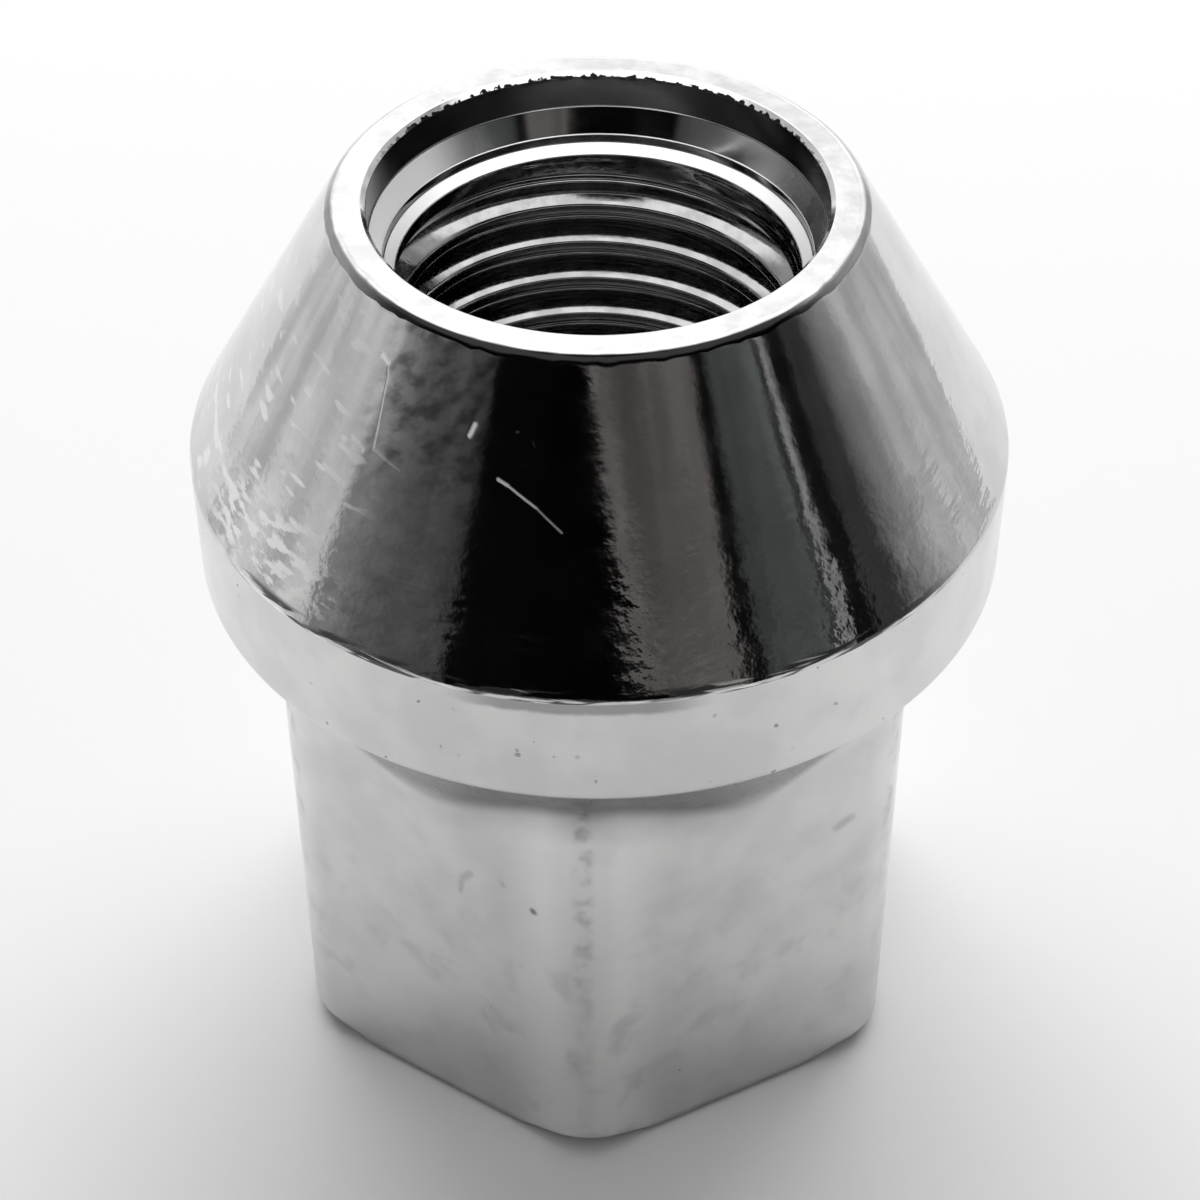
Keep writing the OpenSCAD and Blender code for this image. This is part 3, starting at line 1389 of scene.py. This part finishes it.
@dataclass(frozen=True)
class MouthFinish(PlatedFinish):
    """Plate of the mouth's upper wall, darkened all over and more towards both sides and under the rim, as
    painted shade.
    """

    # Painted shade: near black towards the sides and under the rim
    painted_shade: WearAndPaintedLight = WearAndPaintedLight(grey(0.05), 0.2)
    painted_shade_reach: Span = (math.radians(168), math.radians(150), 0.0, 0.85)
    painted_shade_depth: Span = (0.54, 0.36, 0.0, 0.85)
    ragged: Cloud = Cloud(0.5)
    ragged_h: float = 0.45

    def dress(self, coat: Coat) -> None:
        """Paint shade on the sides, and in an uneven band below the rim.

        Args:
            coat: Coat that the painted shade is added to.
        """
        sketch, place = coat.sketch, coat.place
        # Painted shade on the sides and under the rim
        sides = sketch.step(place.aside, *self.painted_shade_reach)
        depth = sketch.math("MULTIPLY_ADD", self.ragged.levels(coat), self.ragged_h, place.depth)
        brink = sketch.step(depth, *self.painted_shade_depth)
        coat.add_wear_and_painted_light(sketch.most(sides, brink), self.painted_shade)


@dataclass(frozen=True)
class StepFinish(PlatedFinish):
    """Bright plate of the mouth's lower wall, step and shoulder; all but the step is rubbed rough at the
    sides and given a near-white colour there as painted light.
    """

    rubbed_reach: Span = (math.radians(150), math.radians(122))
    # Rubbed rough, and painted light: near white on the wall's sides
    wall: WearAndPaintedLight = WearAndPaintedLight(grey(0.98), 1.0)
    wall_z: Span = (30.68, 30.76)
    wall_sides: Span = (math.radians(-30), math.radians(30), 1.0, 0.2)
    # Rubbed rough, and painted light: near white on the shoulder's sides
    shoulder: WearAndPaintedLight = WearAndPaintedLight(grey(0.98), 0.45)
    shoulder_z: Span = (30.44, 30.38)

    def dress(self, coat: Coat) -> None:
        """Rub the sides of the wall, the left one more than the right one, and of the shoulder, with painted
        light in their near-white colour.

        Args:
            coat: Coat that the rubbed sides and their painted light are added to.
        """
        sketch, place = coat.sketch, coat.place
        sides = sketch.step(place.aside, *self.rubbed_reach)
        wall = sketch.step(place.height, *self.wall_z)
        share = sketch.step(place.azimuth, *self.wall_sides)
        coat.add_wear_and_painted_light(sketch.product(sides, wall, share), self.wall)
        shoulder = sketch.step(place.height, *self.shoulder_z)
        coat.add_wear_and_painted_light(sketch.product(sides, shoulder), self.shoulder)


def looking_at(height: float, azimuth: float, elevation: float, distance: float) -> Matrix:
    """Find the place of something that looks along its own -Z at the nut's axis.

    Args:
        height: Height on the axis that it looks at.
        azimuth: Azimuth that it stands at, in radians.
        elevation: Angle above the horizon that it stands at, in radians.
        distance: Distance from what it looks at.

    Returns:
        Matrix of its place and turn.
    """
    level = math.cos(elevation)
    away = Vector((math.sin(azimuth) * level, -math.cos(azimuth) * level, math.sin(elevation)))
    turn = (-away).to_track_quat("-Z", "Y").to_matrix().to_4x4()
    return Matrix.Translation(Vector((0, 0, height)) + away * distance) @ turn


@dataclass(frozen=True)
class PhotoCamera:
    """Camera at the place that a fit to the photograph gives."""

    distance: float = 97.02 * MM
    elevation: float = math.radians(41.668)
    azimuth: float = math.radians(2.95)
    target_z: float = 15.916 * MM
    focal_px: float = 2757.2
    image_px: float = 1200.0
    sensor_mm: float = 36.0
    clip_start: float = 1.0 * MM
    roll: float = math.radians(-0.279)

    def build(self) -> bpy.types.Object:
        """Make the camera and set it as the scene's own.

        Returns:
            The camera object.
        """
        data = bpy.data.cameras.new("photo_camera")
        data.sensor_width = self.sensor_mm
        data.lens = self.focal_px * self.sensor_mm / self.image_px
        data.clip_start = self.clip_start
        made = add_object("photo_camera", data)
        place = looking_at(self.target_z, self.azimuth, self.elevation, self.distance)
        made.matrix_world = place @ Matrix.Rotation(self.roll, 4, "Z")
        bpy.context.scene.camera = made
        return made


@dataclass(frozen=True)
class Softbox:
    """Area lamp behind the nut that points at it."""

    name: str = "back_softbox"
    azimuth: float = math.radians(180)
    elevation: float = math.radians(48)
    distance: float = 0.6
    aim_z: float = 16.0 * MM
    size: Point = (0.9, 0.6)
    radiance: float = 2.4
    power_per_radiance: float = 4.0

    def build(self) -> bpy.types.Object:
        """Make the lamp.

        Returns:
            The lamp object.
        """
        data = bpy.data.lights.new(self.name, "AREA")
        data.shape = "RECTANGLE"
        data.size, data.size_y = self.size
        data.energy = self.power_per_radiance * self.radiance * data.size * data.size_y
        made = add_object(self.name, data)
        made.matrix_world = looking_at(self.aim_z, self.azimuth, self.elevation, self.distance)
        made.visible_glossy = False
        return made


WHITE: Colour = grey(1.0)
BROWN: Colour = (1.08, 1.0, 0.96)
GREEN: Colour = (0.93, 1.03, 0.99)


@dataclass(frozen=True)
class Screen:
    """Upright thing in the room between two azimuths in degrees, as the metal reflects it."""

    first: float
    last: float
    level: Point
    tint: Colour = WHITE

    def stops(self) -> list[tuple[float, Colour]]:
        """Give what the ring of screens has at both ends of this one.

        Returns:
            The azimuth in degrees and the colour of each end.
        """
        return [
            (azimuth, tuple(level * t for t in self.tint))
            for azimuth, level in zip((self.first, self.last), self.level)
        ]


@dataclass(frozen=True)
class Room:
    """White room with dark things towards the front, as the metal shows it.

    Levels are radiances. A span in "up" or "front" is in parts of the unit vector to a place in the room.
    """

    plain_level: float = 0.27
    uneven_size: float = 0.12
    uneven_detail: float = 3.0
    unevenness: Span = (0.3, 0.7, 0.8, 1.2)
    screens: tuple[Screen, ...] = (
        Screen(-180, -149, (1.5, 1.45)),
        Screen(-144, -75.5, (0.82, 0.68)),
        Screen(-73, -62, (0.31, 0.155)),
        Screen(-52, -38, (0.115, 0.065)),
        Screen(-35, 6.0, (0.003, 0.001)),
        Screen(8.5, 13, (0.15, 0.1), BROWN),
        Screen(16, 36.5, (0.085, 0.15), BROWN),
        Screen(39.5, 42.5, (0.006, 0.006)),
        Screen(45.5, 62.0, (0.07, 0.115), GREEN),
        Screen(63.6, 65.0, (0.03, 0.03)),
        Screen(66.2, 66.8, (0.36, 0.36)),
        Screen(68.0, 74, (0.008, 0.006)),
        Screen(76, 83, (0.045, 0.05)),
        Screen(90, 105, (0.19, 0.6)),
        Screen(122, 151, (0.65, 0.8)),
        Screen(156, 180, (1.4, 1.5)),
    )
    lean_up: float = 0.335
    lean_reach: Span = (math.radians(28), math.radians(18), 0.0, math.radians(125))
    lintel_level: float = 0.004
    lintel_up: Span = (math.sin(math.radians(24)), math.sin(math.radians(27)))
    lintel_front: Span = (0.12, 0.3)
    upper_level: float = 2.0
    upper_up: Span = (math.sin(math.radians(40)), math.sin(math.radians(46)))
    overhead_level: float = 0.01
    overhead_up: Span = (math.sin(math.radians(77)), math.sin(math.radians(82)))
    front_stop: float = 0.5

    def build(self) -> bpy.types.World:
        """Make the world that stands for the room.

        Returns:
            The world, set as the scene's own.
        """
        world = bpy.data.worlds.new("room")
        world.use_nodes = True
        world.cycles.sampling_method = "NONE"
        sketch = ShaderSketch(world.node_tree)
        parts = sketch.add("ShaderNodeSeparateXYZ")
        way = sketch.add("ShaderNodeTexCoord").outputs["Generated"]
        sketch.feed(parts.inputs[0], way)
        front = sketch.math("MULTIPLY", parts.outputs["Y"], -1.0)
        up = parts.outputs["Z"]
        azimuth = sketch.math("ARCTAN2", parts.outputs["X"], front)
        leaning = sketch.step(sketch.math("ABSOLUTE", azimuth), *self.lean_reach)
        above = sketch.math("SUBTRACT", up, self.lean_up)
        colour = self._ring(sketch, sketch.math("MULTIPLY_ADD", leaning, above, azimuth))
        patches = sketch.noise(way, self.uneven_size, self.uneven_detail)
        colour = sketch.scaled(colour, sketch.step(patches, *self.unevenness))
        lintel = sketch.product(sketch.step(up, *self.lintel_up), sketch.step(front, *self.lintel_front))
        layers = (
            (lintel, self.lintel_level),
            (sketch.step(up, *self.upper_up), self.upper_level),
            (sketch.step(up, *self.overhead_up), self.overhead_level),
        )
        for share, level in layers:
            colour = sketch.mix(share, colour, rgba(grey(level)))
        path = sketch.add("ShaderNodeLightPath").outputs
        metal = sketch.most(path["Is Glossy Ray"], path["Is Transmission Ray"])
        colour = sketch.mix(metal, rgba(grey(self.plain_level)), colour)
        colour = sketch.mix(path["Is Camera Ray"], colour, rgba(WHITE))
        sketch.feed(world.node_tree.nodes["Background"].inputs["Color"], colour)
        bpy.context.scene.world = world
        return world

    def _ring(self, sketch: ShaderSketch, azimuth: Socket) -> Socket:
        """Lay the screens round the room.

        Args:
            sketch: Tree that the nodes go into.
            azimuth: Azimuth of the view in the room, in radians.

        Returns:
            Output with the colour at that azimuth.
        """
        ramp = sketch.add("ShaderNodeValToRGB")
        share = sketch.math("MULTIPLY_ADD", azimuth, 1 / math.tau, self.front_stop)
        sketch.feed(ramp.inputs[0], share)
        elements = ramp.color_ramp.elements
        stops = [stop for screen in self.screens for stop in screen.stops()]
        while len(elements) < len(stops):
            elements.new(1.0)
        for element, (degrees, colour) in zip(elements, stops):
            element.position = degrees / FULL_TURN_DEGREES + self.front_stop
            element.color = rgba(colour)
        return ramp.outputs[0]


@dataclass(frozen=True)
class Floor:
    """Sheet of white paper that the nut stands on."""

    half: float = 115.0 * MM
    colour: Colour = grey(0.93)
    roughness: float = 1.0
    specular: float = 0.0

    def build(self) -> bpy.types.Object:
        """Make the floor.

        Returns:
            The floor object.
        """
        mesh = bpy.data.meshes.new("floor")
        half = self.half
        corners = [(-half, -half, 0), (half, -half, 0), (half, half, 0), (-half, half, 0)]
        mesh.from_pydata(corners, [], [(0, 1, 2, 3)])
        made = add_object("floor", mesh)
        finish = bpy.data.materials.new("floor_paper")
        finish.use_nodes = True
        shader = finish.node_tree.nodes["Principled BSDF"]
        shader.inputs["Base Color"].default_value = rgba(self.colour)
        shader.inputs["Roughness"].default_value = self.roughness
        shader.inputs["Specular IOR Level"].default_value = self.specular
        mesh.materials.append(finish)
        return made


FINISHES: dict[Zone, PlatedFinish] = {
    Zone.HEXAGON: HexagonFinish(
        "chrome_satin",
        light=(0.705, 0.705, 0.7),
        dark=grey(0.64),
        cloud_size=2.4,
        smooth=0.16,
        dull=0.24,
        ripple_size=1.4,
        ripple_depth=8.0 * MICRON,
        pit_share=0.12,
    ),
    Zone.COLLAR: CollarFinish(
        "chrome_collar",
        light=(0.68, 0.68, 0.675),
        dark=grey(0.62),
        smooth=0.14,
        dull=0.22,
        ripple_size=1.0,
        ripple_depth=5.0 * MICRON,
        pit_share=0.9,
        pit_spacing=0.6,
        pit_r=0.1,
        pitted=WearAndPaintedLight(grey(0.3), 0.4),
    ),
    Zone.SEAT: SeatFinish("chrome_seat", smooth=0.04, dull=0.09, ripple_depth=1.5 * MICRON),
    Zone.RIM: RimFinish(
        "chrome_rim",
        light=grey(0.68),
        dark=grey(0.57),
        cloud_size=1.0,
        smooth=0.08,
        dull=0.16,
        ripple_depth=6.0 * MICRON,
    ),
    # Painted shade: the mouth's plate gets darker greys than the rest, for the dark of the recess
    Zone.MOUTH: MouthFinish("chrome_mouth", light=grey(0.48), dark=grey(0.4), smooth=0.1, dull=0.16),
    Zone.STEP: StepFinish("chrome_step", smooth=0.07, dull=0.12),
    Zone.THREAD: PlatedFinish(
        "plated_thread",
        light=grey(0.36),
        dark=grey(0.27),
        cloud_size=0.8,
        smooth=0.06,
        dull=0.11,
        ripple_size=0.25,
        ripple_depth=2.0 * MICRON,
    ),
}


def main() -> None:
    """Build the nut, its stage and the camera, and report each."""
    logging.basicConfig(level=logging.INFO, format="%(name)s: %(message)s")
    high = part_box(NODE)[1]
    mount = next(m for m in frame["record"]["mounts"] if m["name"] == "thread")
    nut = LugNut(
        HexagonShank(),
        Head(collar_r=high.x, rim_z=high.z),
        Thread(
            crest_r=mount["dims"]["r_mm"] * MM,
            foot_z=mount["pos_m"][2] - 0.5 * mount["dims"]["length_mm"] * MM,
        ),
    ).build(FINISHES)
    log.info("%s: %d faces", nut.name, len(nut.data.polygons))
    for piece in (PhotoCamera().build(), Room().build(), Floor().build(), Softbox().build()):
        log.info("%s", piece.name)
    bpy.context.scene.view_settings.view_transform = "Standard"


if __name__ == "__main__":
    main()
